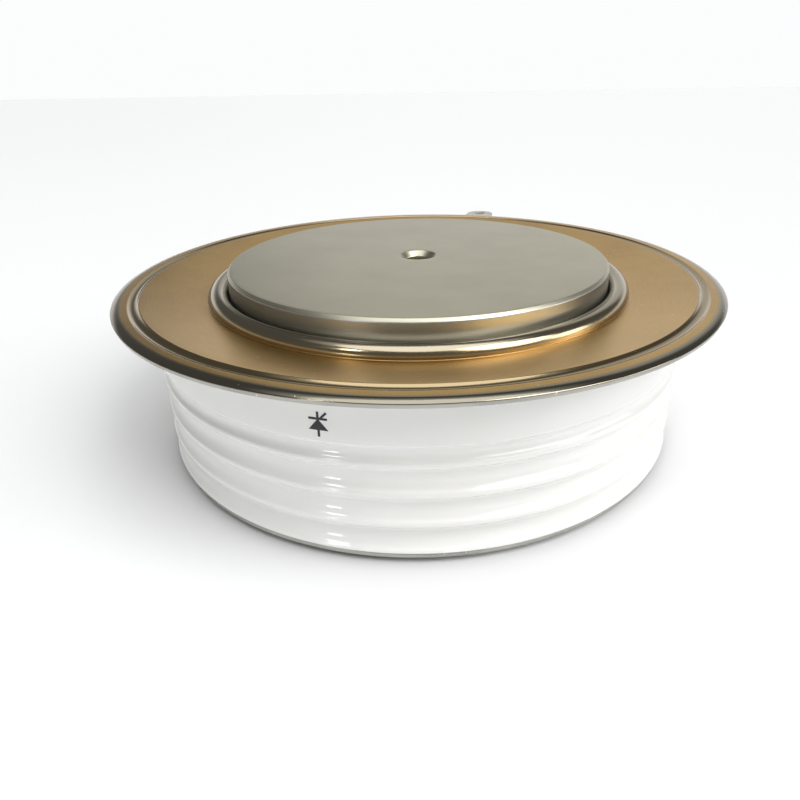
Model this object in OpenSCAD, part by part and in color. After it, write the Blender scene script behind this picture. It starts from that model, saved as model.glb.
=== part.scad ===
// Disc thyristor: a pressure-contact capsule with a ribbed ceramic ring, two copper pole pieces
// and a welded sheet-metal rim. The wafer stack and the gate assembly lie inside.
// The origin is the centre of the anode contact face, and +Z runs to the cathode.

/* [Pole pieces] */
// Outer diameter of both copper pole pieces
pole_d = 48.8; // [40:0.1:60]
// Width of the chamfer round each contact face
pole_chamfer = 0.35; // [0.1:0.05:0.6]
// Height of the anode face below its sealing flange
anode_stand = 0.75; // [0.5:0.05:1.5]
// Height of the cathode face above the rim
cathode_stand = 1.8; // [1:0.1:3]
// Height of the anode pole above its sealing flange
anode_body_h = 7.2; // [5:0.1:10]
// Width of the shoulder by which the anode pole sits on its sealing flange
anode_shoulder = 1.2; // [0.8:0.1:1.6]
// Diameter of the centring hole in each contact face
centre_d = 3.5; // [3:0.1:4]
// Length of the straight wall of the centring hole
centre_wall = 2; // [1:0.1:3]
// Diameter of the countersink at the mouth of the centring hole
countersink_d = 4.8; // [4.2:0.1:6]

/* [Ceramic ring] */
// Gap between the anode pole's shoulder and the ceramic's bore
seal_gap = 3.4; // [2.8:0.1:6]
// Wall of the ceramic ring over its ribs
ceramic_wall = 4.15; // [3:0.05:6]
// Number of hollows between the ribs
hollow_count = 4; // [2:1:5]
// Height of the plain band above the hollows
band_h = 4.65; // [3:0.05:6]
// Height of the narrow hollow under the band
top_hollow_h = 2.3; // [1.8:0.05:4]
// Depth of the narrow hollow under the band
top_hollow_depth = 0.6; // [0.3:0.05:0.9]
// Depth of the other hollows
hollow_depth = 0.85; // [0.4:0.05:1.1]
// Radius of the rounded crest of a rib
rib_round = 0.35; // [0.2:0.05:0.8]
// Height of the straight land on a rib's crest
rib_land = 0.1; // [0.05:0.05:0.6]
// Height of the plain foot below the lowest hollow
foot_land = 0.12; // [0.05:0.01:0.4]
// Chamfer on the four edges of the ceramic ring
ceramic_chamfer = 0.25; // [0.1:0.05:0.4]

/* [Welded rim] */
// Width of the weld ring's sloping step, from the ceramic's edge to the bend
step_w = 1.225; // [0.8:0.025:3]
// Sheet thickness of the cap and the weld ring
sheet_t = 0.4; // [0.3:0.02:0.5]
// Step from the ceramic's top up to the weld seam, beyond one sheet thickness
ring_rise = 1.3; // [1:0.05:2]
// How far the weld ring's edge stays inside the cap's edge
ring_inset = 0.15; // [0:0.05:0.4]
// Width of the flat seam from the bend to the rim's edge
seam_w = 3; // [2.4:0.1:5]
// Width of the pressed weld groove
groove_w = 1.2; // [0.8:0.1:1.3]
// Depth of the pressed weld groove
groove_depth = 0.25; // [0.1:0.01:0.3]
// Width of the rounded outer edge of the rim
edge_w = 0.9; // [0.5:0.1:1]
// Radius of the rounded outer edge of the rim
edge_r = 1.5; // [1.3:0.1:3]
// Depth of the dish at its foot, below the rim
dish_depth = 1.4; // [1:0.05:1.7]
// Outside radius of the rolled bead round the cathode pole
bead_r = 1.25; // [1:0.05:1.5]
// Length of the collar below the bead, brazed to the pole
collar_h = 1; // [0.5:0.1:1.2]

/* [Anode sealing flange] */
// Sheet thickness of the anode sealing flange
anode_flange_t = 0.45; // [0.3:0.05:0.6]
// Inside radius of the flange's expansion bead
anode_bead_r = 0.7; // [0.4:0.05:1]

/* [Wafer stack] */
// How far the anode molybdenum disc stays inside the pole's edge
moly_inset = 0.9; // [0.3:0.1:3]
// Thickness of the anode molybdenum disc
anode_moly_t = 2; // [1.5:0.1:2.5]
// How far the silicon wafer stays inside the edge of the anode molybdenum disc
wafer_inset = 0.3; // [0.1:0.05:2]
// Thickness of the silicon wafer
wafer_t = 0.35; // [0.25:0.05:0.6]
// Width of the bevel on the wafer's edge
wafer_bevel = 0.6; // [0.3:0.1:1]
// Width of the coating that covers the wafer's rim
coating_w = 1; // [0.6:0.1:1.4]
// Gap between the coating and the cathode molybdenum disc
coating_gap = 1.1; // [0.2:0.1:4]
// Thickness of the cathode molybdenum disc
cathode_moly_t = 0.8; // [0.6:0.1:1.5]
// Thickness of the silver foils
foil_t = 0.15; // [0.1:0.05:0.3]
// Width of the edge left free round each silver foil
foil_margin = 0.4; // [0.2:0.1:1]
// Height of the ring that centres the stack
centring_h = 2; // [1.5:0.1:2.5]

/* [Gate] */
// Direction of the gate terminal, in degrees from +X
gate_angle = 100; // [90:1:130]
// Height of the ceramic left above the gate tube's collar
collar_margin = 0.25; // [0.1:0.05:1]
// Outer diameter of the gate tube
tube_d = 2.5; // [2:0.1:3]
// Wall of the gate tube
tube_wall = 0.5; // [0.3:0.05:0.55]
// Diameter of the collar brazed to the ceramic
tube_collar_d = 3.5; // [3:0.1:5]
// Thickness of the collar
tube_collar_t = 0.6; // [0.4:0.1:0.8]
// Depth of the spot face for the collar
spot_depth = 0.4; // [0.2:0.05:0.6]
// How far the end of the gate tube stays inside the cap's rim
tube_inset = 1.15; // [0:0.05:2]
// Diameter of the gate lead
lead_d = 0.7; // [0.5:0.05:0.8]
// Outer diameter of the sleeve on the gate lead
sleeve_d = 2; // [1.4:0.1:2.2]
// Width of the gate slot in the cathode pole
slot_w = 2.6; // [2.2:0.1:3.4]
// Diameter of the gate recess in the cathode pole
recess_d = 9; // [7.8:0.1:12]
// Copper between the gate recess and the straight wall of the centring hole
recess_web = 2.1; // [1.8:0.1:6]
// Wall of the gate's insulating cup
cup_wall = 0.8; // [0.6:0.05:0.9]
// Diameter of the gate hole in the cathode disc
gate_hole_d = 6; // [5:0.1:7]
// Diameter of the gate pin's tip
pin_d = 1.6; // [1:0.1:2]
// Height of the gate spring as fitted
spring_h = 2; // [1.7:0.1:4]
// Height of the gate pin's head
pin_head_h = 1.2; // [1:0.05:2]
// Width of the solder blade of the gate terminal
blade_w = 3; // [2.4:0.1:3.4]
// Length of the solder blade
blade_len = 6; // [4:0.5:10]

/* [Auxiliary cathode lug] */
// Direction of the auxiliary cathode lug, in degrees from +X
lug_angle = 73.5; // [50:0.5:80]
// Width of the lug
lug_w = 4.8; // [2.8:0.1:6.3]
// Thickness of the lug
lug_t = 0.5; // [0.3:0.05:0.8]
// Length of the lug beyond the rim
lug_reach = 8; // [4:0.5:12]
// Diameter of the solder hole in the lug
lug_hole_d = 1.8; // [1.2:0.1:2.2]

/* [Hidden] */
$fn = 96;

// Gap of a brazed or close joint, and play of a loose inner piece
braze_gap = 0.05;
play = 0.2;
// Overshoot of a cutting solid past the face that it cuts
cut = 1;

// Radii, from the pole's edge outwards
pole_r = pole_d / 2;
shoulder_r = pole_r + anode_shoulder;
bore_r = shoulder_r + seal_gap;
ceramic_r = bore_r + ceramic_wall;
heel_r = ceramic_r + ceramic_chamfer / 2;
bend_r = heel_r + step_w;
groove_r = bend_r + groove_w / 2;
rim_r = bend_r + seam_w;
bead_mid_r = pole_r + braze_gap + bead_r;
foot_r = bead_mid_r + bead_r;
step_angle = atan2(ring_rise, step_w);
step_shift = sheet_t * tan(step_angle / 2);
lug_start_r = bend_r + step_shift + groove_w;
lug_end_r = rim_r + lug_reach;

// Radii, from the pole's edge inwards
anode_moly_r = pole_r - moly_inset;
wafer_r = anode_moly_r - wafer_inset;
wafer_lip_r = wafer_r - wafer_bevel;
coating_r = wafer_lip_r - coating_w;
cathode_moly_r = coating_r - coating_gap;

// Levels, from the anode face up; the recess is as deep as what it holds,
// and the ceramic as high as the stack
ceramic_z = anode_stand + anode_flange_t;
anode_top_z = ceramic_z + anode_body_h;
anode_moly_z = anode_top_z + foil_t;
wafer_z = anode_moly_z + anode_moly_t;
wafer_top_z = wafer_z + wafer_t;
cathode_foil_z = wafer_top_z + cathode_moly_t;
cathode_base_z = cathode_foil_z + foil_t;
pin_lift = 1.4;
recess_depth = pin_lift + pin_head_h + spring_h + cup_wall;
recess_top_z = cathode_base_z + recess_depth;
countersink_depth = (countersink_d - centre_d) / 2;
top_z = recess_top_z + recess_web + centre_wall + countersink_depth;
rim_z = top_z - cathode_stand;
foot_z = rim_z - dish_depth;
seam_z = rim_z - sheet_t;
lug_z = seam_z - sheet_t - lug_t;
ceramic_top_z = seam_z - ring_rise - sheet_t;
band_z = ceramic_top_z - band_h;
rib_z = band_z - top_hollow_h;
rib_pitch = (rib_z - ceramic_z - foot_land) / (hollow_count - 1);
gate_z = ceramic_top_z - collar_margin - tube_collar_d / 2;

// Cone that the drill leaves at the end of the centring hole
drill_angle = 118;
drill_point = centre_d / 2 / tan(drill_angle / 2);

// Gate assembly
recess_r = recess_d / 2;
cup_r = recess_r - play / 2;
cup_inner_r = cup_r - cup_wall;
cup_roof_z = recess_top_z - cup_wall;
cup_base_z = cathode_base_z + play;
pin_head_r = cup_inner_r - play;
pin_head_z = cathode_base_z + pin_lift;
pin_head_top_z = pin_head_z + pin_head_h;
guide_top_z = cathode_base_z + play;
spring_wire_r = 0.2;
spring_r = pin_head_r - spring_wire_r - play;
spring_turns = 3.5;
spring_sides = 8;
spring_steps = 24;
lead_r = lead_d / 2;
socket_depth = 1;
lead_in = [pin_head_r - socket_depth, pin_head_z + pin_head_h / 2];
tube_stick_in = 0.8;
tube_in_r = bore_r - tube_stick_in;
knee_gap = 0.6;
knee = [tube_in_r - knee_gap, gate_z];
lead_rise = atan2(knee[1] - lead_in[1], knee[0] - lead_in[0]);
lead_run = norm(knee - lead_in);
sleeve_start = cup_r + play - lead_in[0];
collar_z = ceramic_r - spot_depth;
tube_end_r = rim_r - tube_inset;
barrel_len = 2;
barrel_wall = 0.35;
barrel_r = tube_d / 2 + braze_gap + barrel_wall;
barrel_cap = 0.5;
blade_t = 0.5;
blade_hole_d = 1.5;

// Radius of the arc with a given chord and sagitta
function arc_r(chord, sagitta) = (pow(chord / 2, 2) + pow(sagitta, 2)) / (2 * sagitta);

// Points along an arc, from one angle to another
arc_steps = 16;
function arc(centre, radius, from, to, steps = arc_steps) = [
    for (i = [0 : steps])
        let (a = from + (to - from) * i / steps)
        centre + radius * [cos(a), sin(a)]
];

// Points of one hollow and the half crests below and above it, upwards from its lower rib;
// the arcs of crest and hollow touch where the flank is steepest
crest_steps = 6;
hollow_steps = 16;
function rib_wave(base, height, depth) =
    let (
        half = (height - rib_land) / 2,
        low = base + rib_land / 2,
        flank = 2 * atan2(depth, half),
        both = half / sin(flank),
        crest = min(rib_round, 0.75 * both),
        hollow = both - crest,
        trim = 2 * flank / hollow_steps
    )
    concat(
        arc([ceramic_r - crest, low], crest, 0, flank, crest_steps),
        arc([ceramic_r - depth + hollow, low + half], hollow,
            180 + flank - trim, 180 - flank + trim, hollow_steps - 2),
        arc([ceramic_r - crest, low + 2 * half], crest, -flank, 0, crest_steps)
    );

// One point of the gate spring's helix, after a number of turns
spring_z0 = pin_head_top_z + spring_wire_r;
spring_z1 = cup_roof_z - spring_wire_r;
function helix(t) = [
    spring_r * cos(360 * t),
    spring_r * sin(360 * t),
    spring_z0 + (spring_z1 - spring_z0) * t / spring_turns
];

// A washer: a disc with a round hole
module washer(outer_r, inner_r, thickness) {
    difference() {
        cylinder(r = outer_r, h = thickness);
        translate([0, 0, -cut]) cylinder(r = inner_r, h = thickness + 2 * cut);
    }
}

// Blind centring hole with its countersink, opening upwards at the origin
module centring_hole() {
    wall_top = -countersink_depth;
    wall_base = wall_top - centre_wall;
    rotate_extrude() polygon([
        [0, cut], [countersink_d / 2 + cut, cut], [countersink_d / 2, 0], [centre_d / 2, wall_top],
        [centre_d / 2, wall_base], [0, wall_base - drill_point]
    ]);
}

// Places its children on the radius of the gate terminal, with +X outwards
module on_gate_radius() {
    rotate([0, 0, gate_angle]) children();
}

// Rod along the sloping stretch of the gate lead, from one distance along it to another
module along_lead(radius, from, to) {
    translate([lead_in[0], 0, lead_in[1]]) rotate([0, 90 - lead_rise, 0])
        translate([0, 0, from]) cylinder(r = radius, h = to - from);
}

// Rod along the gate tube's axis, from one radius to another
module along_tube(radius, from, to) {
    translate([from, 0, gate_z]) rotate([0, 90, 0]) cylinder(r = radius, h = to - from);
}

// Turned copper pole below the wafer, with the contact face down
module anode_pole_piece() {
    color("#a9a596") difference() {
        rotate_extrude() polygon([
            [0, 0], [pole_r - pole_chamfer, 0], [pole_r, pole_chamfer], [pole_r, ceramic_z],
            [shoulder_r, ceramic_z], [shoulder_r, anode_top_z - pole_chamfer],
            [shoulder_r - pole_chamfer, anode_top_z], [0, anode_top_z]
        ]);
        rotate([180, 0, 0]) centring_hole();
    }
}

// Sheet ring that closes the capsule between the anode pole and the ceramic, with an expansion bead
module anode_sealing_flange() {
    inner_r = pole_r + braze_gap;
    outer_r = ceramic_r - ceramic_chamfer / 2;
    mid_r = (shoulder_r + bore_r) / 2;
    arch_r = anode_bead_r + anode_flange_t;
    color("#8f8a80") rotate_extrude() difference() {
        union() {
            translate([inner_r, anode_stand]) square([outer_r - inner_r, anode_flange_t]);
            intersection() {
                translate([mid_r, anode_stand]) circle(arch_r);
                translate([mid_r - arch_r, anode_stand]) square([2 * arch_r, arch_r]);
            }
        }
        translate([mid_r, anode_stand]) circle(anode_bead_r);
    }
}

// Glazed ceramic ring with a wave of rounded ribs and hollows, and the hole for the gate tube
module ceramic_housing() {
    wide = [for (i = [hollow_count - 1 : -1 : 1]) rib_wave(rib_z - i * rib_pitch, rib_pitch, hollow_depth)];
    waves = concat(wide, [rib_wave(rib_z, top_hollow_h, top_hollow_depth)]);
    color("#f1f0ec") difference() {
        rotate_extrude() polygon(concat(
            [
                [bore_r, ceramic_z + ceramic_chamfer], [bore_r + ceramic_chamfer, ceramic_z],
                [ceramic_r - ceramic_chamfer, ceramic_z], [ceramic_r, ceramic_z + foot_land]
            ],
            [for (wave = waves, point = wave) point],
            [
                [ceramic_r, ceramic_top_z - ceramic_chamfer], [ceramic_r - ceramic_chamfer, ceramic_top_z],
                [bore_r + ceramic_chamfer, ceramic_top_z], [bore_r, ceramic_top_z - ceramic_chamfer]
            ]
        ));
        on_gate_radius() {
            along_tube(tube_d / 2 + braze_gap, bore_r - cut, ceramic_r + cut);
            along_tube(tube_collar_d / 2 + braze_gap, collar_z, ceramic_r + cut);
        }
    }
}

// Sheet ring brazed to the ceramic's top, stepped up to the weld seam
module upper_weld_ring() {
    inner_r = bore_r + ceramic_chamfer;
    outer_r = rim_r - ring_inset;
    die_r = arc_r(groove_w, groove_depth);
    color("#8d7a5c") rotate_extrude() difference() {
        polygon([
            [inner_r, ceramic_top_z], [heel_r + step_shift, ceramic_top_z],
            [bend_r + step_shift, seam_z - sheet_t],
            [outer_r, seam_z - sheet_t], [outer_r, seam_z], [bend_r, seam_z],
            [heel_r, ceramic_top_z + sheet_t], [inner_r, ceramic_top_z + sheet_t]
        ]);
        translate([groove_r + step_shift, seam_z - sheet_t + groove_depth - die_r]) circle(die_r);
    }
}

// Drawn cap: collar and rolled bead round the pole, dished diaphragm, pressed weld groove and rounded rim
module cathode_cap() {
    die_r = arc_r(groove_w, groove_depth);
    bead_mid = [bead_mid_r, foot_z];
    collar_r = pole_r + braze_gap;
    color("#a3835a") rotate_extrude() difference() {
        polygon(concat(
            [[collar_r, foot_z - collar_h]],
            arc(bead_mid, bead_r, 180, 0),
            [
                [bend_r, rim_z], [rim_r, rim_z], [rim_r, seam_z], [bend_r, seam_z],
                [foot_r - sheet_t, foot_z - sheet_t]
            ],
            arc(bead_mid, bead_r - sheet_t, 0, 180),
            [[collar_r + sheet_t, foot_z - collar_h]]
        ));
        translate([groove_r, rim_z - groove_depth + die_r]) circle(die_r);
        difference() {
            translate([rim_r - edge_w, seam_z]) square([edge_w + cut, sheet_t + cut]);
            translate([rim_r - edge_w, rim_z - edge_r]) circle(edge_r);
        }
    }
}

// Turned copper pole above the wafer, with the recess and slot for the gate in its lower face
module cathode_pole_piece() {
    color("#a9a596") difference() {
        rotate_extrude() polygon([
            [0, cathode_base_z], [pole_r - pole_chamfer, cathode_base_z],
            [pole_r, cathode_base_z + pole_chamfer], [pole_r, top_z - pole_chamfer],
            [pole_r - pole_chamfer, top_z], [0, top_z]
        ]);
        translate([0, 0, top_z]) centring_hole();
        translate([0, 0, cathode_base_z - cut]) cylinder(r = recess_r, h = recess_depth + cut);
        on_gate_radius() translate([0, -slot_w / 2, cathode_base_z - cut])
            cube([pole_r + cut, slot_w, recess_depth + cut]);
    }
}

// Silver foil between the anode pole and the wafer's carrier disc
module anode_silver_foil() {
    color("#d9d9d4") translate([0, 0, anode_top_z])
        cylinder(r = anode_moly_r - foil_margin, h = foil_t);
}

// Molybdenum disc that carries the wafer
module anode_molybdenum_disc() {
    color("#77787b") translate([0, 0, anode_moly_z]) cylinder(r = anode_moly_r, h = anode_moly_t);
}

// Silicon wafer with its bevelled edge
module silicon_wafer() {
    color("#4b4f5c") translate([0, 0, wafer_z])
        cylinder(r1 = wafer_r, r2 = wafer_lip_r, h = wafer_t);
}

// Silicone rubber that seals the wafer's bevelled edge
module edge_coating() {
    crown_z = wafer_top_z + cathode_moly_t / 2;
    color("#b5522f") rotate_extrude() polygon([
        [wafer_r, wafer_z], [anode_moly_r, wafer_z], [anode_moly_r, wafer_top_z],
        [wafer_r - wafer_bevel / 2, crown_z], [wafer_lip_r - coating_w / 2, crown_z],
        [coating_r, wafer_top_z], [wafer_lip_r, wafer_top_z]
    ]);
}

// Molybdenum disc on the wafer's cathode, open at the gate
module cathode_molybdenum_disc() {
    color("#77787b") translate([0, 0, wafer_top_z])
        washer(cathode_moly_r, gate_hole_d / 2, cathode_moly_t);
}

// Silver foil under the cathode pole
module cathode_silver_foil() {
    color("#d9d9d4") translate([0, 0, cathode_foil_z])
        washer(cathode_moly_r - foil_margin, gate_hole_d / 2, foil_t);
}

// Plastic ring that holds the wafer stack central in the ceramic
module centring_ring() {
    color("#e8e4d4") translate([0, 0, anode_top_z])
        washer(bore_r - play, anode_moly_r + play, centring_h);
}

// Insulating cup in the pole's recess, with a slot for the lead
module gate_insulator_cup() {
    color("#f4f2ea") difference() {
        translate([0, 0, cup_base_z]) cylinder(r = cup_r, h = recess_top_z - cup_base_z);
        translate([0, 0, cup_base_z - cut]) cylinder(r = cup_inner_r, h = cup_roof_z - cup_base_z + cut);
        on_gate_radius() translate([0, -slot_w / 2, cup_base_z - cut])
            cube([recess_r + cut, slot_w, pin_head_top_z + lead_d - cup_base_z + cut]);
    }
}

// Helical spring that presses the gate pin on the wafer
module gate_spring() {
    rings = ceil(spring_turns * spring_steps);
    points = [
        for (i = [0 : rings], j = [0 : spring_sides - 1])
            let (
                t = spring_turns * i / rings,
                c = helix(t),
                out = [cos(360 * t), sin(360 * t), 0],
                a = 360 * j / spring_sides
            )
            c + spring_wire_r * (cos(a) * out + sin(a) * [0, 0, 1])
    ];
    sides = [
        for (i = [0 : rings - 1], j = [0 : spring_sides - 1])
            let (k = (j + 1) % spring_sides, low = i * spring_sides, high = low + spring_sides)
            [low + j, low + k, high + k, high + j]
    ];
    first = [for (j = [spring_sides - 1 : -1 : 0]) j];
    last = [for (j = [0 : spring_sides - 1]) rings * spring_sides + j];
    color("#c9c9c4") polyhedron(points, concat(sides, [first, last]), convexity = 8);
}

// Gate pin: tip on the wafer, and a head with a socket for the lead
module gate_pin() {
    color("#cfcabb") difference() {
        union() {
            translate([0, 0, wafer_top_z]) cylinder(r = pin_d / 2, h = pin_head_z - wafer_top_z);
            translate([0, 0, pin_head_z]) cylinder(r = pin_head_r, h = pin_head_h);
        }
        on_gate_radius() along_lead(lead_r + braze_gap, 0, socket_depth + cut);
    }
}

// Insulating sleeve that guides the pin through the cathode disc
module gate_guide_sleeve() {
    color("#f4f2ea") translate([0, 0, wafer_top_z])
        washer(gate_hole_d / 2 - play / 2, pin_d / 2 + play / 2, guide_top_z - wafer_top_z);
}

// Gate lead from the pin to the end of the gate tube
module gate_lead() {
    color("#d8d4c6") on_gate_radius() {
        along_lead(lead_r, 0, lead_run + lead_r);
        along_tube(lead_r, knee[0], tube_end_r);
    }
}

// Insulating sleeve on the lead, through the slot of the cathode pole
module gate_lead_sleeve() {
    color("#f4f2ea") on_gate_radius() difference() {
        along_lead(sleeve_d / 2, sleeve_start, lead_run);
        along_lead(lead_r + braze_gap, sleeve_start - cut, lead_run + cut);
    }
}

// Metal tube brazed into the ceramic, with its collar
module gate_tube() {
    color("#b9b4a6") on_gate_radius() difference() {
        union() {
            along_tube(tube_d / 2, tube_in_r, tube_end_r);
            along_tube(tube_collar_d / 2, collar_z, collar_z + tube_collar_t);
        }
        along_tube(tube_d / 2 - tube_wall, tube_in_r - cut, tube_end_r + cut);
    }
}

// Gate terminal: a barrel on the tube's end, with a flat solder blade
module gate_terminal() {
    blade_start = tube_end_r + barrel_cap / 2;
    blade_end = blade_start + blade_len;
    color("#b9b4a6") on_gate_radius() difference() {
        union() {
            along_tube(barrel_r, tube_end_r - barrel_len, tube_end_r + barrel_cap);
            translate([blade_start, -blade_w / 2, gate_z - blade_t / 2])
                cube([blade_len - blade_w / 2, blade_w, blade_t]);
            translate([blade_end - blade_w / 2, 0, gate_z - blade_t / 2])
                cylinder(r = blade_w / 2, h = blade_t);
        }
        along_tube(tube_d / 2 + braze_gap, tube_end_r - barrel_len - cut, tube_end_r);
        translate([blade_end - blade_w / 2, 0, gate_z - cut]) cylinder(d = blade_hole_d, h = 2 * cut);
    }
}

// Auxiliary cathode lug welded under the rim
module auxiliary_cathode_lug() {
    mid_r = lug_end_r - lug_w / 2;
    color("#b9b4a6") rotate([0, 0, lug_angle]) difference() {
        union() {
            translate([lug_start_r, -lug_w / 2, lug_z]) cube([mid_r - lug_start_r, lug_w, lug_t]);
            translate([mid_r, 0, lug_z]) cylinder(r = lug_w / 2, h = lug_t);
        }
        translate([mid_r, 0, lug_z - cut]) cylinder(d = lug_hole_d, h = lug_t + 2 * cut);
    }
}

anode_pole_piece();
anode_sealing_flange();
ceramic_housing();
upper_weld_ring();
cathode_cap();
cathode_pole_piece();
anode_silver_foil();
anode_molybdenum_disc();
silicon_wafer();
edge_coating();
cathode_molybdenum_disc();
cathode_silver_foil();
centring_ring();
gate_insulator_cup();
gate_spring();
gate_pin();
gate_guide_sleeve();
gate_lead();
gate_lead_sleeve();
gate_tube();
gate_terminal();
auxiliary_cathode_lug();
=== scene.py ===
import math

import bpy
import numpy as np
from mathutils import Matrix, Quaternion, Vector


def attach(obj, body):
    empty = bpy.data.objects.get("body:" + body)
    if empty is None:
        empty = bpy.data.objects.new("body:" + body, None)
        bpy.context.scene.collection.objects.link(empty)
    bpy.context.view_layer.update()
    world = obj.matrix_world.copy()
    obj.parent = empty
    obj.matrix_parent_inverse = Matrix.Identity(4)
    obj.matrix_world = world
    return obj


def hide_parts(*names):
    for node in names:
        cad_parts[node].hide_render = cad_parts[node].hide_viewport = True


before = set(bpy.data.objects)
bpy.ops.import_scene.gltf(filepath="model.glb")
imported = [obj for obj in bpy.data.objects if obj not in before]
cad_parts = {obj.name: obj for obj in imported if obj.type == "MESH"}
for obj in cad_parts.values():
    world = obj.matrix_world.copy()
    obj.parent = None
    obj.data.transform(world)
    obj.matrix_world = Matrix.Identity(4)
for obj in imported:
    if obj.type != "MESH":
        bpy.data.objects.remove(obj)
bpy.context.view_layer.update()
print("frame loaded:", len(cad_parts), "nodes")

# lengths below are in millimetres, with the anode face at z = 0 and +Z to the cathode
mm = 0.001

capsule = {
    "poleR": 24.4, "poleChamfer": 0.35, "topZ": 22.0, "shoulderR": 25.6, "boreR": 29.0,
    "ceramicR": 33.15, "ceramicZ": 1.2, "ceramicTopZ": 18.1, "bendR": 34.5, "rimR": 37.5, "rimZ": 20.2,
    "sheet": 0.4, "brazeGap": 0.05, "centreR": 1.75, "countersinkR": 2.4, "centreWall": 2.0,
    "drillPoint": 1.0515, "turns": 320,
}


# shapes

def addObject(name, data):
    made = bpy.data.objects.new(name, data)
    bpy.context.scene.collection.objects.link(made)
    return made


def arcPoints(centre, radius, start, end, count=24):
    # points at equal steps of angle on a circle
    angle = np.radians(np.linspace(start, end, count))
    return np.column_stack([centre[0] + radius * np.cos(angle), centre[1] + radius * np.sin(angle)])


def chainPoints(*runs):
    # joins single points and runs of points into one row of points
    return np.vstack([np.atleast_2d(np.asarray(run, float)) for run in runs])


# steps to the softened length, points in the mean, points added at the ends of the walk, and the
# shortest distance between two corners that counts
sectionWalk = {"steps": 6, "window": 7, "reach": 12, "shortest": 1e-9}


def softSection(corners, soften, closed=True, turnStep=5.0, runStep=2.5):
    # The section is walked at even steps and each point becomes the mean of its neighbours, twice over,
    # which rounds every corner and leaves straight runs straight. Points are then kept where the
    # direction has turned by turnStep degrees or the run is runStep long. Gives points and normals.
    path = np.vstack([corners, corners[:1]]) if closed else corners
    lengths = np.linalg.norm(np.diff(path, axis=0), axis=1)
    path = path[np.append(True, lengths > sectionWalk["shortest"])]
    along = np.append(0, np.cumsum(np.linalg.norm(np.diff(path, axis=0), axis=1)))
    count = int(along[-1] / (soften / sectionWalk["steps"])) + 1
    even = np.linspace(0, along[-1], count, endpoint=not closed)
    walked = np.column_stack([np.interp(even, along, path[:, k]) for k in (0, 1)])
    reach = sectionWalk["reach"]
    if closed:
        padded = np.vstack([walked[-reach:], walked, walked[:reach]])
    else:
        flip = np.array([-1, 1])
        padded = np.vstack([walked[reach:0:-1] * flip, walked, walked[-2:-reach - 2:-1] * flip])
    mean = np.ones(sectionWalk["window"]) / sectionWalk["window"]
    kernel = np.convolve(mean, mean)
    kernel = np.pad(kernel, (reach * 2 + 1 - len(kernel)) // 2)
    smooth = np.column_stack([np.convolve(padded[:, k], kernel, "valid") for k in (0, 1)])
    if not closed:
        smooth[[0, -1], 0] = 0
    ahead = np.roll(smooth, -1, 0) - np.roll(smooth, 1, 0)
    if not closed:
        ahead[0] = [1, 0]
        ahead[-1] = [-1, 0]
    ahead /= np.linalg.norm(ahead, axis=1)[:, None]
    heading = np.unwrap(np.arctan2(ahead[:, 1], ahead[:, 0]))
    turned = np.degrees(np.abs(np.diff(heading, prepend=heading[0])))
    travelled = np.append(0, np.linalg.norm(np.diff(smooth, axis=0), axis=1))
    measure = np.cumsum(turned / turnStep + travelled / runStep)
    keep = np.flatnonzero(np.diff(np.floor(measure), prepend=-1) > 0)
    if not closed and keep[-1] != count - 1:
        keep = np.append(keep, count - 1)
    return smooth[keep], np.column_stack([ahead[:, 1], -ahead[:, 0]])[keep]


def turnAbout(points, angle):
    # points turned about Z by an angle in degrees
    turn = math.radians(angle)
    cosine, sine = math.cos(turn), math.sin(turn)
    return points @ np.array([[cosine, sine, 0], [-sine, cosine, 0], [0, 0, 1]])


def gridFaces(rows, columns, wrapRows, wrapColumns):
    # quads between neighbouring points of a grid, wrapped round where the grid closes on itself
    down = np.arange(rows if wrapRows else rows - 1)[:, None]
    across = np.arange(columns if wrapColumns else columns - 1)[None, :]
    nextDown = (down + 1) % rows
    nextAcross = (across + 1) % columns
    corners = [down * columns + across, nextDown * columns + across,
               nextDown * columns + nextAcross, down * columns + nextAcross]
    return np.stack(np.broadcast_arrays(*corners), -1).reshape(-1, 4)


def meshPiece(name, points, faces, normals=None):
    # points in millimetres; faces as rows of four, of which a repeated corner makes a triangle
    mesh = bpy.data.meshes.new(name)
    points = np.asarray(points, float) * mm
    doubled = faces == np.roll(faces, -1, 1)
    sides = 4 - doubled.sum(1)
    loops = faces[~doubled]
    mesh.vertices.add(len(points))
    mesh.vertices.foreach_set("co", points.astype(np.float32).ravel())
    mesh.loops.add(len(loops))
    mesh.loops.foreach_set("vertex_index", loops.astype(np.int32))
    mesh.polygons.add(len(faces))
    mesh.polygons.foreach_set("loop_start", np.append(0, np.cumsum(sides)[:-1]).astype(np.int32))
    mesh.update(calc_edges=True)
    mesh.validate()
    mesh.polygons.foreach_set("use_smooth", np.ones(len(mesh.polygons), bool))
    if normals is not None:
        mesh.normals_split_custom_set_from_vertices(np.asarray(normals, float).tolist())
    return addObject(name, mesh)


def goRound(pairs, ring):
    # each pair (r, z) once for every direction of the ring
    around = pairs[:, None, :1] * ring[None]
    height = np.broadcast_to(pairs[:, None, 1:], (*around.shape[:2], 1))
    return np.concatenate([around, height], -1).reshape(-1, 3)


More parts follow.
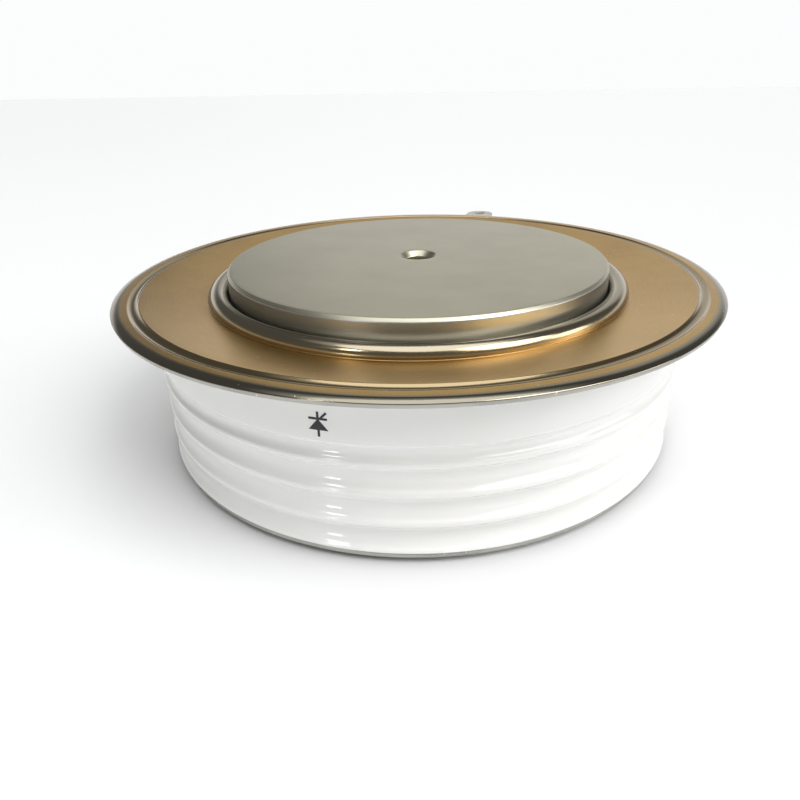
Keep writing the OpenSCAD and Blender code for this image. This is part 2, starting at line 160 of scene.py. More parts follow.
def lathe(name, section, normals, turns, closed=True, place=None):
    # Each section point (r, z) goes round the axis: x = r cos a, y = r sin a, z = z.
    # A section that starts and ends on the axis is closed there by one point at each end.
    angle = np.linspace(0, 2 * np.pi, turns, endpoint=False)
    ring = np.column_stack([np.cos(angle), np.sin(angle)])
    inner = section if closed else section[1:-1]
    innerNormals = normals if closed else normals[1:-1]
    points = goRound(inner, ring)
    outward = goRound(innerNormals, ring)
    faces = gridFaces(len(inner), turns, closed, True)[:, ::-1]
    if not closed:
        start = np.full(turns, len(points))
        end = start + 1
        points = np.vstack([points, [[0, 0, section[0, 1]], [0, 0, section[-1, 1]]]])
        outward = np.vstack([outward, [[0, 0, normals[0, 1]], [0, 0, normals[-1, 1]]]])
        here = np.arange(turns)
        ahead = (here + 1) % turns
        tail = (len(inner) - 1) * turns
        startFan = np.column_stack([start, start, here, ahead])
        endFan = np.column_stack([end, end, tail + ahead, tail + here])
        faces = np.vstack([faces, startFan, endFan])
    if place is not None:
        points = place(points)
        outward = place(outward, turnOnly=True)
    return meshPiece(name, points, faces, outward)


def prism(name, outline, low, high, angle):
    # an outline run once round and drawn up from low to high, closed by a face at each end
    count = len(outline)
    rings = np.vstack([np.column_stack([outline, np.full(count, level)]) for level in (low, high)])
    mesh = bpy.data.meshes.new(name)
    sides = gridFaces(2, count, False, True)[:, ::-1].tolist()
    ends = [list(range(count))[::-1], list(range(count, 2 * count))]
    mesh.from_pydata((turnAbout(rings, angle) * mm).tolist(), [], sides + ends)
    return addObject(name, mesh)


def cutPiece(piece, cutter, operation="DIFFERENCE"):
    # boolean of two closed pieces, applied
    cut = piece.modifiers.new("cut", "BOOLEAN")
    cut.solver = "EXACT"
    cut.operation = operation
    cut.object = cutter
    evaluated = piece.evaluated_get(bpy.context.evaluated_depsgraph_get())
    done = bpy.data.meshes.new_from_object(evaluated)
    piece.modifiers.clear()
    piece.data = done
    bpy.data.objects.remove(cutter)
    return piece


def dress(piece, look, slotName, *nodes):
    # gives a piece its material and body, and hides the CAD nodes it stands for; slotName is not used
    piece.data.materials.clear()
    piece.data.materials.append(look)
    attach(piece, "root")
    if nodes:
        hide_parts(*nodes)


# materials

# the part of its range that noise mostly keeps to, and the full part of a speck's radius
noiseRange = (0.3, 0.7)
speckCore = 0.4


class Value:
    # a shader socket that takes part in Python expressions; each operator adds a Math node
    def __init__(self, tree, socket):
        self.tree = tree
        self.socket = socket

    def math(self, operation, *others):
        return self.tree.node("ShaderNodeMath", {"operation": operation},
                              dict(enumerate((self, *others))))

    def __add__(self, other):
        return self.math("ADD", other)

    def __sub__(self, other):
        return self.math("SUBTRACT", other)

    def __mul__(self, other):
        return self.math("MULTIPLY", other)

    def __truediv__(self, other):
        return self.math("DIVIDE", other)

    def __pow__(self, other):
        return self.math("POWER", other)

    def __gt__(self, other):
        return self.math("GREATER_THAN", other)

    def __radd__(self, other):
        return self + other

    def __rmul__(self, other):
        return self * other

    def __rsub__(self, other):
        return self.tree.node("ShaderNodeMath", {"operation": "SUBTRACT"}, {0: other, 1: self})

    def step(self, low, high):
        # 0 below low, 1 above high, smooth between
        return self.tree.node("ShaderNodeMapRange", {"interpolation_type": "SMOOTHSTEP"},
                              {"Value": self, "From Min": low, "From Max": high})

    def across(self, limits):
        # a step between two lengths in millimetres
        return self.step(limits[0] * mm, limits[1] * mm)

    def stretch(self):
        # noise spread over the whole of 0 to 1
        return self.step(*noiseRange)


class Look:
    # one material or world and the nodes of its tree
    def __init__(self, owner, shader, **constants):
        owner.use_nodes = True
        self.owner = owner
        self.nodes = owner.node_tree.nodes
        self.links = owner.node_tree.links
        self.shader = self.nodes[shader]
        for socket, value in constants.items():
            self.shader.inputs[socket.replace("_", " ")].default_value = value

    def node(self, kind, settings=None, sockets=None, out=0):
        made = self.nodes.new(kind)
        for key, value in (settings or {}).items():
            setattr(made, key, value)
        for key, value in (sockets or {}).items():
            if isinstance(value, Value):
                self.links.new(value.socket, made.inputs[key])
            else:
                made.inputs[key].default_value = value
        return Value(self, made.outputs[out])

    def feed(self, **sockets):
        for key, value in sockets.items():
            self.links.new(value.socket, self.shader.inputs[key.replace("_", " ")])

    def place(self, out=3):
        # Object coordinates; for a world, out 0 is the direction
        return self.node("ShaderNodeTexCoord", out=out)

    def axes(self, at):
        # x, y and z of a place or a direction
        return [self.node("ShaderNodeSeparateXYZ", None, {0: at}, out=k) for k in range(3)]

    def vector(self, x, y, z):
        return self.node("ShaderNodeCombineXYZ", None, {0: x, 1: y, 2: z})

    def noise(self, at, scale, detail=2.0):
        return self.node("ShaderNodeTexNoise", None, {"Vector": at, "Scale": scale, "Detail": detail})

    def specks(self, at, scale, size, share):
        # small round dots in a share of the cells of a Voronoi pattern
        near = self.node("ShaderNodeTexVoronoi", None, {"Vector": at, "Scale": scale})
        chance = self.node("ShaderNodeTexVoronoi", None, {"Vector": at, "Scale": scale}, out=1)
        pick = self.node("ShaderNodeSeparateColor", None, {0: chance})
        return (1 - near.step(size * speckCore, size)) * (pick > 1 - share)

    def blend(self, factor, one, other):
        return self.node("ShaderNodeMix", {"data_type": "RGBA"},
                         {0: factor, 6: colour(one), 7: colour(other)}, out=2)

    def bump(self, height, strength, distance):
        return self.node("ShaderNodeBump", None,
                         {"Height": height, "Strength": strength, "Distance": distance})


def colour(value):
    return value if isinstance(value, Value) else (*value, 1.0)


def surface(name, **constants):
    return Look(bpy.data.materials.new(name), "Principled BSDF", **constants)


# In each finish, specks are given by scale, size and share, and a bump by strength and depth in metres.

poleFinish = {
    "grey": (0.44, 0.415, 0.32), "paleGrey": (0.50, 0.475, 0.37), "roughLow": 0.30, "roughHigh": 0.40,
    "side": (0.42, 0.42, 0.39), "sideRough": 0.34, "sidePass": (24.28, 24.38),
    "cloudScale": 160, "grainScale": 7000, "lapAlong": 500, "lapAcross": 9000, "bump": (0.12, 0.00002),
}


def polePlating():
    f = poleFinish
    look = surface("polePlating", Metallic=1.0)
    at = look.place()
    x, y, z = look.axes(at)
    radius = (x * x + y * y) ** 0.5
    cloud = look.noise(at, f["cloudScale"], 3)
    grain = look.noise(at, f["grainScale"])
    lap = look.noise(look.vector(x * f["lapAlong"], y * f["lapAcross"], z * f["lapAcross"]), 1.0, 3)
    tone = (0.6 * cloud + 0.25 * grain + 0.15 * lap).stretch()
    side = radius.across(f["sidePass"])
    face = f["roughLow"] + (f["roughHigh"] - f["roughLow"]) * grain
    look.feed(
        Base_Color=look.blend(side, look.blend(tone, f["grey"], f["paleGrey"]), f["side"]),
        Roughness=face * (1 - side) + f["sideRough"] * side,
        Normal=look.bump(grain + 0.6 * lap, *f["bump"]),
    )
    return look.owner


# In the cap finish the bead, groove and edge colours are darker than the sheet: partly the greyer worked
# metal of these rings, partly painted shade for the dark reflections along them.
capFinish = {
    # the two sheet colours are partly the plating's own warm tint and partly a painted reflection of a warm
    # brown room
    "warmTintAndReflection": (0.47, 0.292, 0.09), "paleWarmTintAndReflection": (0.56, 0.36, 0.12), "bead": (0.38, 0.335, 0.25),
    # the speck colour is a painted glint: bright dots in the colour that stand for sparkle
    "groove": (0.35, 0.275, 0.165), "edge": (0.26, 0.24, 0.19), "glint": (0.92, 0.88, 0.78),
    "sheetRough": 0.26, "beadRough": 0.08,
    # radii between which one finish passes into the next, with the painted shade of the bead, groove and
    # edge
    "beadPass": (26.4, 27.3), "grooveIn": (34.3, 34.6), "grooveOut": (35.6, 35.8), "edgePass": (36.3, 36.8),
    "cloudScale": 130, "grainScale": 6000, "streakAcross": 6000, "streakRound": 12,
    "specks": (2200, 0.17, 0.05), "bump": (0.12, 0.00002),
}


def capPlating():
    f = capFinish
    look = surface("capPlating", Metallic=1.0)
    at = look.place()
    x, y = look.axes(at)[:2]
    radius = (x * x + y * y) ** 0.5
    turn = y.math("ARCTAN2", x)
    cloud = look.noise(at, f["cloudScale"], 3)
    grain = look.noise(at, f["grainScale"])
    streak = look.noise(look.vector(radius * f["streakAcross"], turn * f["streakRound"], 0.0), 1.0)
    # bright dots painted into the colour as glints, also raised a little by the bump
    glints = look.specks(at, *f["specks"])
    bead = 1 - radius.across(f["beadPass"])
    groove = radius.across(f["grooveIn"]) - radius.across(f["grooveOut"])
    edge = radius.across(f["edgePass"])
    tone = (0.6 * cloud + 0.4 * streak).stretch()
    # the sheet colour: a painted warm reflection over the plating's slight tint, with a random tone
    sheet = look.blend(tone, f["warmTintAndReflection"], f["paleWarmTintAndReflection"])
    # the bead, groove and edge colours laid over the sheet here carry painted shade as well as their worked
    # finish
    rolledAndShaded = look.blend(groove, look.blend(bead, sheet, f["bead"]), f["groove"])
    workedAndShaded = look.blend(edge, rolledAndShaded, f["edge"])
    smooth = (f["sheetRough"] - f["beadRough"]) * (bead + groove + edge)
    look.feed(
        Base_Color=look.blend(glints, workedAndShaded, f["glint"]),
        Roughness=f["sheetRough"] - smooth + 0.05 * cloud + 0.04 * grain,
        Normal=look.bump(grain + 0.7 * streak + 1.5 * glints, *f["bump"]),
    )
    return look.owner


ringFinish = {
    # the speck colour is a painted glint: bright dots in the colour that stand for sparkle
    "grey": (0.38, 0.37, 0.345), "paleGrey": (0.48, 0.47, 0.435), "glint": (0.7, 0.68, 0.62), "rough": 0.2,
    "cloudScale": 150, "grainScale": 6500, "specks": (2400, 0.28, 0.10), "bump": (0.14, 0.00002),
}


def ringPlating():
    f = ringFinish
    look = surface("ringPlating", Metallic=1.0)
    at = look.place()
    cloud = look.noise(at, f["cloudScale"], 3)
    grain = look.noise(at, f["grainScale"])
    # bright dots painted into the colour as glints, also raised a little by the bump
    glints = look.specks(at, *f["specks"])
    sheet = look.blend(cloud.stretch(), f["grey"], f["paleGrey"])
    look.feed(
        Base_Color=look.blend(glints, sheet, f["glint"]),
        Roughness=f["rough"] + 0.12 * cloud + 0.06 * grain,
        Normal=look.bump(grain + 1.2 * glints, *f["bump"]),
    )
    return look.owner


glazeFinish = {
    "white": (0.88, 0.88, 0.865), "warm": (0.845, 0.84, 0.815), "fleck": (0.55, 0.52, 0.47),
    "fleckShow": 0.5, "rough": 0.035, "cloudScale": 90, "peelScale": 220, "flecks": (420, 0.05, 0.05),
    "bump": (0.03, 0.0001),
}


def ceramicGlaze():
    f = glazeFinish
    look = surface("ceramicGlaze")
    at = look.place()
    cloud = look.noise(at, f["cloudScale"])
    peel = look.noise(at, f["peelScale"], 1)
    flecks = look.specks(at, *f["flecks"])
    body = look.blend(cloud.stretch(), f["white"], f["warm"])
    look.feed(
        Base_Color=look.blend(flecks * f["fleckShow"], body, f["fleck"]),
        Roughness=f["rough"] + 0.03 * cloud,
        Normal=look.bump(peel, *f["bump"]),
    )
    return look.owner


innerFinish = {
    "metalGrain": 6000, "metalBump": (0.12, 0.00002), "plasticGrain": 3500, "plasticBump": (0.1, 0.00003),
    "roughSpan": 0.1,
}


def innerMetal(name, dark, pale, rough, scale):
    # plain metal of a hidden piece or a terminal: cloudy tone and a fine grain
    f = innerFinish
    look = surface(name, Metallic=1.0)
    at = look.place()
    cloud = look.noise(at, scale, 3)
    grain = look.noise(at, f["metalGrain"])
    look.feed(
        Base_Color=look.blend((0.7 * cloud + 0.3 * grain).stretch(), dark, pale),
        Roughness=rough + f["roughSpan"] * grain,
        Normal=look.bump(grain, *f["metalBump"]),
    )
    return look.owner


def innerPlastic(name, dark, pale, rough, scale):
    # plain plastic, rubber or ink: slight mottle and a moulded grain
    f = innerFinish
    look = surface(name)
    at = look.place()
    mottle = look.noise(at, scale, 3)
    grain = look.noise(at, f["plasticGrain"])
    look.feed(
        Base_Color=look.blend(mottle.stretch(), dark, pale),
        Roughness=rough + f["roughSpan"] * grain,
        Normal=look.bump(grain, *f["plasticBump"]),
    )
    return look.owner


looks = {
    "pole": polePlating(),
    "cap": capPlating(),
    "ring": ringPlating(),
    "glaze": ceramicGlaze(),
    "terminal": innerMetal("terminalPlating", (0.44, 0.42, 0.37), (0.54, 0.52, 0.46), 0.24, 400),
    "silver": innerMetal("silverFoil", (0.70, 0.69, 0.66), (0.80, 0.79, 0.76), 0.22, 300),
    "molybdenum": innerMetal("molybdenumDisc", (0.24, 0.24, 0.25), (0.33, 0.33, 0.34), 0.38, 260),
    "silicon": innerMetal("siliconWafer", (0.10, 0.11, 0.14), (0.16, 0.17, 0.21), 0.18, 220),
    "rubber": innerPlastic("sealingRubber", (0.42, 0.13, 0.06), (0.52, 0.18, 0.09), 0.45, 500),
    "plastic": innerPlastic("whitePlastic", (0.76, 0.74, 0.68), (0.84, 0.82, 0.76), 0.38, 350),
    "spring": innerMetal("springSteel", (0.40, 0.40, 0.40), (0.54, 0.54, 0.53), 0.26, 600),
    "wire": innerMetal("leadWire", (0.55, 0.53, 0.48), (0.66, 0.64, 0.58), 0.25, 600),
    "ink": innerPlastic("blackInk", (0.012, 0.012, 0.014), (0.022, 0.022, 0.026), 0.42, 900),
}
print("materials:", len(looks))


# poles

def centringHole(z, way):
    # half section of the drilled and countersunk hole, from its tip out to the face;
    # way is +1 at the top and -1 at the bottom
    wall = z - way * (capsule["countersinkR"] - capsule["centreR"])
    return [[0, wall - way * (capsule["centreWall"] + capsule["drillPoint"])],
            [capsule["centreR"], wall - way * capsule["centreWall"]],
            [capsule["centreR"], wall], [capsule["countersinkR"], z]]


cathodePole = {
    "baseZ": 11.85, "recessR": 4.5, "recessTopZ": 17.25, "slotW": 2.6, "cutPast": 1.0, "soften": 0.1,
}


def makeCathodePole():
    p = cathodePole
    r, chamfer = capsule["poleR"], capsule["poleChamfer"]
    top, base = capsule["topZ"], p["baseZ"]
    corners = chainPoints(
        centringHole(top, 1),
        [[r - chamfer, top], [r, top - chamfer], [r, base + chamfer], [r - chamfer, base], [0, base]],
    )
    section, normals = softSection(corners[::-1], p["soften"], closed=False)
    pole = lathe("cathodePole", section, normals, capsule["turns"], closed=False)
    # the gate recess and its slot, cut as one: a circle that runs out into a slot past the edge
    half = p["slotW"] / 2
    spread = math.degrees(math.asin(half / p["recessR"]))
    outline = chainPoints(
        [r + p["cutPast"], half],
        arcPoints((0, 0), p["recessR"], spread, 360 - spread, 90),
        [r + p["cutPast"], -half],
    )
    cutter = prism("cutter", outline, base - p["cutPast"], p["recessTopZ"], gateSet["angle"])
    return cutPiece(pole, cutter)


anodePole = {"topZ": 8.4, "soften": 0.1}


def makeAnodePole():
    r, chamfer, shoulder = capsule["poleR"], capsule["poleChamfer"], capsule["shoulderR"]
    top, step = anodePole["topZ"], capsule["ceramicZ"]
    corners = chainPoints(
        centringHole(0, -1),
        [[r - chamfer, 0], [r, chamfer], [r, step], [shoulder, step]],
        [[shoulder, top - chamfer], [shoulder - chamfer, top], [0, top]],
    )
    section, normals = softSection(corners, anodePole["soften"], closed=False)
    return lathe("anodePole", section, normals, capsule["turns"], closed=False)


# sheet metal

cathodeCap = {
    "beadR": 1.25, "footZ": 18.8, "collarH": 1.0, "grooveW": 1.2, "grooveDepth": 0.25, "edgeW": 0.9,
    "edgeR": 1.5, "soften": 0.12,
}


def pressedGroove(middle, z, width, depth, count=16):
    # points of a shallow round groove pressed into the level z, from its inner to its outer lip
    radius = ((width / 2) ** 2 + depth ** 2) / (2 * depth)
    half = math.degrees(math.asin(width / 2 / radius))
    return arcPoints((middle, z - depth + radius), radius, -90 - half, -90 + half, count)


def makeCathodeCap():
    c = cathodeCap
    collar = capsule["poleR"] + capsule["brazeGap"]
    bead = (collar + c["beadR"], c["footZ"])
    foot = bead[0] + c["beadR"]
    sheet, rim, rimZ, bend = capsule["sheet"], capsule["rimR"], capsule["rimZ"], capsule["bendR"]
    edgeTurn = math.degrees(math.asin(c["edgeW"] / c["edgeR"]))
    corners = chainPoints(
        [collar, c["footZ"] - c["collarH"]],
        arcPoints(bead, c["beadR"], 180, 0, 40),
        pressedGroove(bend + c["grooveW"] / 2, rimZ, c["grooveW"], c["grooveDepth"]),
        arcPoints((rim - c["edgeW"], rimZ - c["edgeR"]), c["edgeR"], 90, 90 - edgeTurn, 12),
        [[rim, rimZ - sheet], [bend, rimZ - sheet], [foot - sheet, c["footZ"] - sheet]],
        arcPoints(bead, c["beadR"] - sheet, 0, 180, 30),
        [collar + sheet, c["footZ"] - c["collarH"]],
    )
    section, normals = softSection(corners[::-1], c["soften"])
    return lathe("cathodeCap", section, normals, capsule["turns"])


weldRing = {"inset": 0.15, "rise": 1.3, "heelR": 33.275, "innerR": 29.25, "soften": 0.12}


def stepShift():
    # how far the underside of the step lies outside its upper side, for a sheet of even thickness
    lean = math.atan2(weldRing["rise"], capsule["bendR"] - weldRing["heelR"])
    return capsule["sheet"] * math.tan(lean / 2)


def makeWeldRing():
    w = weldRing
    sheet, bend = capsule["sheet"], capsule["bendR"]
    base, seam = capsule["ceramicTopZ"], capsule["rimZ"] - capsule["sheet"]
    outer = capsule["rimR"] - w["inset"]
    shift = stepShift()
    groove = pressedGroove(0, 0, cathodeCap["grooveW"], cathodeCap["grooveDepth"]) * [1, -1]
    middle = bend + cathodeCap["grooveW"] / 2 + shift
    corners = chainPoints(
        [[w["innerR"], base], [w["heelR"] + shift, base], [bend + shift, seam - sheet]],
        groove + [middle, seam - sheet],
        [[outer, seam - sheet], [outer, seam], [bend, seam], [w["heelR"], base + sheet],
         [w["innerR"], base + sheet]],
    )
    section, normals = softSection(corners, w["soften"])
    return lathe("weldRing", section, normals, capsule["turns"])


anodeFlange = {"standZ": 0.75, "sheet": 0.45, "beadR": 0.7, "outerR": 33.025, "soften": 0.1}


def makeAnodeFlange():
    f = anodeFlange
    inner = capsule["poleR"] + capsule["brazeGap"]
    middle = (capsule["shoulderR"] + capsule["boreR"]) / 2
    low, high = f["standZ"], f["standZ"] + f["sheet"]
    arch = f["beadR"] + f["sheet"]
    lift = math.degrees(math.asin(f["sheet"] / arch))
    corners = chainPoints(
        [[inner, low]], arcPoints((middle, low), f["beadR"], 180, 0),
        [[f["outerR"], low], [f["outerR"], high]],
        arcPoints((middle, low), arch, lift, 180 - lift), [[inner, high]],
    )
    section, normals = softSection(corners, f["soften"])
    return lathe("anodeFlange", section, normals, capsule["turns"])


# ceramic

ceramicRing = {
    # height of the lowest rib's land, then height and depth of each hollow from the bottom up
    "footLand": 0.12, "hollows": [(9.83 / 3, 0.85)] * 3 + [(2.3, 0.6)],
    "land": 0.1, "ribRound": 0.35, "chamfer": 0.25, "soften": 0.12, "turnStep": 6, "runStep": 0.7,
}


def makeCeramicRing():
    # The outside is a wave: the arc of a crest and the arc of a hollow touch where the flank is steepest,
    # at twice the angle whose tangent is depth over half a wave.
    c = ceramicRing
    r, bore = capsule["ceramicR"], capsule["boreR"]
    base, top = capsule["ceramicZ"], capsule["ceramicTopZ"]
    crest = c["ribRound"]
    rib = base + c["footLand"]
    outside = []
    for height, depth in c["hollows"]:
        half = (height - c["land"]) / 2
        flank = 2 * math.atan2(depth, half)
        hollow = half / math.sin(flank) - crest
        lean = math.degrees(flank)
        middle = rib + height / 2
        outside.append(arcPoints((r - crest, middle - half), crest, 0, lean, 12))
        outside.append(arcPoints((r - depth + hollow, middle), hollow, 180 + lean, 180 - lean, 32))
        outside.append(arcPoints((r - crest, middle + half), crest, -lean, 0, 12))
        rib += height
    corners = chainPoints(
        [[bore, top - c["chamfer"]], [bore, base + c["chamfer"]], [bore + c["chamfer"], base],
         [r - c["chamfer"], base], [r, base + c["footLand"]]],
        *outside,
        [[r, top - c["chamfer"]], [r - c["chamfer"], top], [bore + c["chamfer"], top]],
    )
    section, normals = softSection(corners, c["soften"], turnStep=c["turnStep"], runStep=c["runStep"])
    return lathe("ceramicRing", section, normals, capsule["turns"])


# gate and lug

gateSet = {
    "angle": 100, "z": 16.1, "tubeR": 1.25, "tubeBore": 0.75, "tubeIn": 28.2, "tubeEnd": 36.35,
    "collarR": 1.75, "collarIn": 32.75, "collarT": 0.6, "barrelLen": 2.0, "barrelCap": 0.5, "barrelR": 1.65,
    "bladeW": 3.0, "bladeT": 0.5, "bladeLen": 6.0, "bladeHole": 0.75, "bladeEdge": 0.07, "turns": 64,
    "soften": 0.06, "cutFrom": 27.0, "cutTo": 35.0, "cutTurns": 96, "cutSoften": 0.02,
}


def onGateRadius(points, turnOnly=False):
    # turns a lathe about Z into one about the gate radius: z runs outwards and y becomes the height
    moved = turnAbout(points[:, [2, 0, 1]], gateSet["angle"])
    return moved if turnOnly else moved + [0, 0, gateSet["z"]]


def makeGateTube():
    g = gateSet
    collarOut = g["collarIn"] + g["collarT"]
    corners = np.array([
        [g["tubeBore"], g["tubeEnd"]], [g["tubeBore"], g["tubeIn"]], [g["tubeR"], g["tubeIn"]],
        [g["tubeR"], g["collarIn"]], [g["collarR"], g["collarIn"]], [g["collarR"], collarOut],
        [g["tubeR"], collarOut], [g["tubeR"], g["tubeEnd"]],
    ])
    section, normals = softSection(corners, g["soften"])
    return lathe("gateTube", section, normals, g["turns"], place=onGateRadius)


tagWalk = {"soften": 0.12, "turnStep": 4, "runStep": 0.6, "endPoints": 40, "edgePoints": 5}


def tagPlate(name, start, end, width, thickness, holeR, edge, angle, z):
    # A flat tag with a round end and a hole, along a radius at the given angle. The section of the band
    # between outline and hole goes round once for each outline point: up the outside, over the top,
    # down the hole and back underneath.
    middle = end - width / 2
    w = tagWalk
    roundEnd = arcPoints((middle, 0), width / 2, -90, 90, w["endPoints"])
    outline = chainPoints([start, -width / 2], roundEnd, [start, width / 2])
    loop, away = softSection(outline, w["soften"], turnStep=w["turnStep"], runStep=w["runStep"])
    bearing = np.arctan2(loop[:, 1], loop[:, 0] - middle)
    spoke = np.column_stack([np.cos(bearing), np.sin(bearing)])
    quarter = np.radians(np.linspace(0, 90, w["edgePoints"]))
    inset = edge * (1 - np.cos(quarter))
    height = thickness / 2 - edge * (1 - np.sin(quarter))
    insets = np.concatenate([inset[::-1], inset])
    heights = np.concatenate([-height[::-1], height])
    outer = loop[None] - insets[:, None, None] * away[None]
    inner = np.array([middle, 0]) + (holeR + insets[::-1, None, None]) * spoke[None]
    flat = np.concatenate([outer, inner])
    level = np.concatenate([heights, heights[::-1]])
    points = np.concatenate([flat, np.broadcast_to(level[:, None, None], (*flat.shape[:2], 1))], -1)
    faces = gridFaces(len(flat), len(loop), True, True)[:, ::-1]
    return meshPiece(name, turnAbout(points.reshape(-1, 3), angle) + [0, 0, z], faces)


def makeGateTerminal():
    g = gateSet
    corners = np.array([
        [0, g["tubeEnd"]], [g["tubeR"] + capsule["brazeGap"], g["tubeEnd"]],
        [g["tubeR"] + capsule["brazeGap"], g["tubeEnd"] - g["barrelLen"]],
        [g["barrelR"], g["tubeEnd"] - g["barrelLen"]], [g["barrelR"], g["tubeEnd"] + g["barrelCap"]],
        [0, g["tubeEnd"] + g["barrelCap"]],
    ])
    section, normals = softSection(corners, g["soften"], closed=False)
    barrel = lathe("gateTerminal", section, normals, g["turns"], closed=False, place=onGateRadius)
    start = g["tubeEnd"] + g["barrelCap"] / 2
    blade = tagPlate("gateBlade", start, start + g["bladeLen"], g["bladeW"], g["bladeT"],
                     g["bladeHole"], g["bladeEdge"], g["angle"], g["z"])
    return cutPiece(barrel, blade, "UNION")


cathodeLug = {"angle": 73.5, "width": 4.8, "thickness": 0.5, "reach": 8.0, "holeR": 0.9, "edge": 0.08}


def makeCathodeLug():
    u = cathodeLug
    start = capsule["bendR"] + stepShift() + cathodeCap["grooveW"]
    middleZ = capsule["rimZ"] - 2 * capsule["sheet"] - u["thickness"] / 2
    return tagPlate("cathodeLug", start, capsule["rimR"] + u["reach"], u["width"], u["thickness"],
                    u["holeR"], u["edge"], u["angle"], middleZ)


symbolPrint = {
    "angle": 254.0, "z": 15.05, "standOff": 0.004, "thickness": 0.012, "split": 8,
    # corners of each quad, along the band and up it; the triangle is a quad with a narrow top
    "quads": [
        [(-0.95, -0.62), (0.95, -0.62), (0.03, 0.50), (-0.03, 0.50)],
        [(-0.90, 0.42), (0.90, 0.42), (0.90, 0.66), (-0.90, 0.66)],
        [(-0.12, 0.60), (0.12, 0.60), (0.12, 1.25), (-0.12, 1.25)],
        [(-0.12, -1.30), (0.12, -1.30), (0.12, -0.56), (-0.12, -0.56)],
        [(0.10, 0.60), (0.30, 0.50), (0.92, 1.12), (0.75, 1.28)],
    ],
}


def makeSymbol():
    # Each quad is divided into a grid that is bent round the ceramic: the angle grows by the way along
    # the band over its radius. A second grid lies under it, and a strip round the edge closes the two.
    s = symbolPrint
    low = capsule["ceramicR"] + s["standOff"]
    n = s["split"] + 1
    share = np.linspace(0, 1, n)
    points, faces = [], []
    for quad in np.array(s["quads"]):
        lower = quad[0] + share[:, None] * (quad[1] - quad[0])
        upper = quad[3] + share[:, None] * (quad[2] - quad[3])
        flat = (lower[None] + share[:, None, None] * (upper - lower)[None]).reshape(-1, 2)
        turn = math.radians(s["angle"]) + flat[:, 0] / low
        top = gridFaces(n, n, False, False)
        index = np.arange(n * n).reshape(n, n)
        edge = np.concatenate([index[0, :-1], index[:-1, -1], index[-1, :0:-1], index[:0:-1, 0]])
        after = np.roll(edge, -1)
        wall = np.column_stack([edge, edge + n * n, after + n * n, after])
        start = 2 * n * n * (len(points) // 2)
        faces += [top[:, ::-1] + start, top + n * n + start, wall + start]
        for radius in (low + s["thickness"], low):
            around = radius * np.column_stack([np.cos(turn), np.sin(turn)])
            points.append(np.column_stack([around, s["z"] + flat[:, 1]]))
    return meshPiece("symbolPrint", np.vstack(points), np.vstack(faces))


def cutterRod(radius, start):
    # closed rod along the gate radius, from start to outside the ceramic
    end = gateSet["cutTo"]
    corners = np.array([[0, start], [radius, start], [radius, end], [0, end]], float)
    section, normals = softSection(corners, gateSet["cutSoften"], closed=False, turnStep=90)
    return lathe("cutter", section, normals, gateSet["cutTurns"], closed=False, place=onGateRadius)


ceramic = makeCeramicRing()
cutPiece(ceramic, cutterRod(gateSet["tubeR"] + capsule["brazeGap"], gateSet["cutFrom"]))
cutPiece(ceramic, cutterRod(gateSet["collarR"] + capsule["brazeGap"], gateSet["collarIn"]))
dress(ceramic, looks["glaze"], "glazed_ceramic", "ceramic_housing")
dress(makeCathodePole(), looks["pole"], "pole_nickel", "cathode_pole_piece")
dress(makeAnodePole(), looks["pole"], "pole_nickel", "anode_pole_piece")
dress(makeCathodeCap(), looks["cap"], "flange_nickel", "cathode_cap")
dress(makeWeldRing(), looks["ring"], "flange_nickel", "upper_weld_ring")
dress(makeAnodeFlange(), looks["ring"], "seal_alloy", "anode_sealing_flange")
dress(makeGateTube(), looks["terminal"], "terminal_nickel", "gate_tube")
dress(makeGateTerminal(), looks["terminal"], "terminal_nickel", "gate_terminal")
dress(makeCathodeLug(), looks["terminal"], "terminal_nickel", "auxiliary_cathode_lug")
dress(makeSymbol(), looks["ink"], "marking_ink")
print("pieces made")

innerLooks = {
    "anode_silver_foil": "silver", "cathode_silver_foil": "silver",
    "anode_molybdenum_disc": "molybdenum", "cathode_molybdenum_disc": "molybdenum",
    "silicon_wafer": "silicon", "edge_coating": "rubber", "centring_ring": "plastic",
    "gate_insulator_cup": "plastic", "gate_guide_sleeve": "plastic", "gate_lead_sleeve": "plastic",
    "gate_spring": "spring", "gate_pin": "wire", "gate_lead": "wire",
}
for node, lookName in innerLooks.items():
    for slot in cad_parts[node].material_slots:
        slot.material = looks[lookName]
print("inner nodes dressed:", len(innerLooks))


# studio

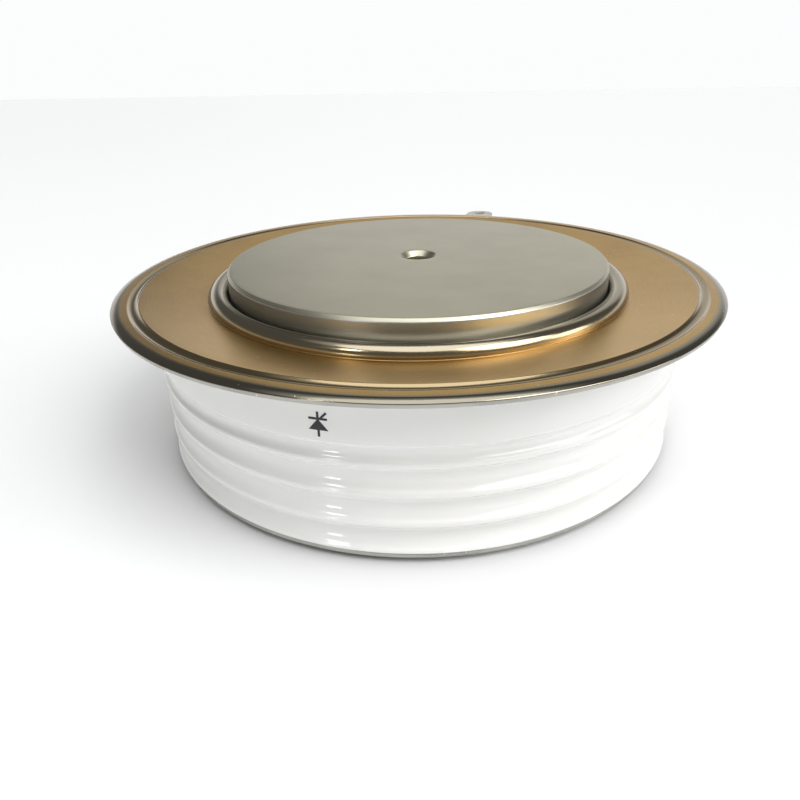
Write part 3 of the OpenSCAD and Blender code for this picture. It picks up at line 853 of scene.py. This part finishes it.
studio = {
    # the floor lies just under the anode face; lengths of floor, panels and clips are in metres
    "floorSize": 8.0, "floorZ": -0.00001, "floorWhite": (0.88, 0.885, 0.89), "fibreShade": 0.985,
    "fibreScale": 900, "floorRough": 0.6,
    "horizon": (0.975, 0.98, 0.985), "nearHorizon": (0.57, 0.57, 0.56),
    "backLow": (0.72, 0.715, 0.69), "backWay": (0.20, 0.98),
    "dim": (0.14, 0.14, 0.135), "ceiling": (0.70, 0.70, 0.69),
    # where the parts of the room pass into each other, sideways and by height
    "backSides": (0.82, 0.97), "backTop": (0.58, 0.74), "ceilingFrom": (0.8, 0.93),
    "horizonSides": (0.30, 0.58), "horizonTop": (0.16, 0.30),
    "sensor": 36.0, "lens": 27.62, "shift": (-0.0244, -0.0685), "clip": (0.002, 20.0),
    # place and aim in millimetres, roll in degrees
    "camera": (0.0, -79.43, 42.62), "target": (0.0, 0.0, 9.0), "roll": -0.961,
    # direction to the lamp, its width in degrees, and the light it throws on a face turned to it
    "suns": [
        ("keySun", (0.58, -0.36, 0.74), 40.0, 1.76, (1.0, 1.0, 1.0)),
        ("topSun", (0.02, -0.12, 0.95), 54.0, 1.02, (0.98, 0.99, 1.0)),
        ("sideSun", (0.92, -0.10, 0.375), 24.0, 0.55, (1.0, 1.0, 1.0)),
    ],
    # place, width, height and power of the small panels that show as dashes in the glaze
    "panels": [
        ("lowPanel", (-0.275, -0.412, 0.070), 0.050, 0.075, 0.16),
        ("highPanel", (-0.225, -0.247, 0.372), 0.050, 0.075, 0.16),
    ],
    "panelAim": (0.0, 0.0, 0.01),
}


def makeFloor():
    half, level = studio["floorSize"] / 2 / mm, studio["floorZ"] / mm
    corners = [[-half, -half, level], [half, -half, level], [half, half, level], [-half, half, level]]
    floor = meshPiece("floor", np.array(corners), np.array([[0, 1, 2, 3]]))
    look = surface("palePaper", Roughness=studio["floorRough"])
    fibre = look.noise(look.place(), studio["fibreScale"], 3)
    white = studio["floorWhite"]
    shade = tuple(studio["fibreShade"] * v for v in white)
    look.feed(Base_Color=look.blend(fibre, white, shade))
    floor.data.materials.append(look.owner)


def makeWorld():
    # a pale backdrop behind, whitest at the horizon, in a dim room with a paler ceiling
    world = bpy.data.worlds.new("dimRoom")
    bpy.context.scene.world = world
    sky = Look(world, "Background")
    x, y, z = sky.axes(sky.place(out=0))
    right, back = studio["backWay"]
    behind = (x * right + y * back) / (x * x + y * y) ** 0.5
    backdrop = behind.step(*studio["backSides"]) * (1 - z.step(*studio["backTop"]))
    lower = sky.blend(backdrop, studio["dim"], studio["backLow"])
    room = sky.blend(z.step(*studio["ceilingFrom"]), lower, studio["ceiling"])
    horizon = sky.blend(behind.step(*studio["horizonSides"]), studio["nearHorizon"], studio["horizon"])
    sky.feed(Color=sky.blend(z.step(*studio["horizonTop"]), horizon, room))


def hangLamp(name, light, place, aim):
    # a lamp at a place that looks at the aim
    lamp = addObject(name, light)
    lamp.location = place
    lamp.rotation_euler = (Vector(aim) - Vector(place)).to_track_quat("-Z", "Y").to_euler()


def makeLamps():
    for name, place, width, strength, tint in studio["suns"]:
        light = bpy.data.lights.new(name, "SUN")
        light.angle, light.energy, light.color = math.radians(width), strength, tint
        hangLamp(name, light, place, (0, 0, 0))
    for name, place, width, height, power in studio["panels"]:
        light = bpy.data.lights.new(name, "AREA")
        light.shape = "RECTANGLE"
        light.size, light.size_y, light.energy = width, height, power
        hangLamp(name, light, place, studio["panelAim"])


def makeCamera():
    data = bpy.data.cameras.new("camera")
    data.sensor_width = studio["sensor"]
    data.lens = studio["lens"]
    data.shift_x, data.shift_y = studio["shift"]
    data.clip_start, data.clip_end = studio["clip"]
    camera = addObject("camera", data)
    place = Vector(studio["camera"]) * mm
    aim = Vector(studio["target"]) * mm - place
    turn = aim.to_track_quat("-Z", "Y") @ Quaternion((0, 0, 1), math.radians(studio["roll"]))
    camera.matrix_world = Matrix.Translation(place) @ turn.to_matrix().to_4x4()
    bpy.context.scene.camera = camera


makeFloor()
makeWorld()
makeLamps()
makeCamera()
bpy.context.scene.view_settings.view_transform = "Standard"
print("studio ready")
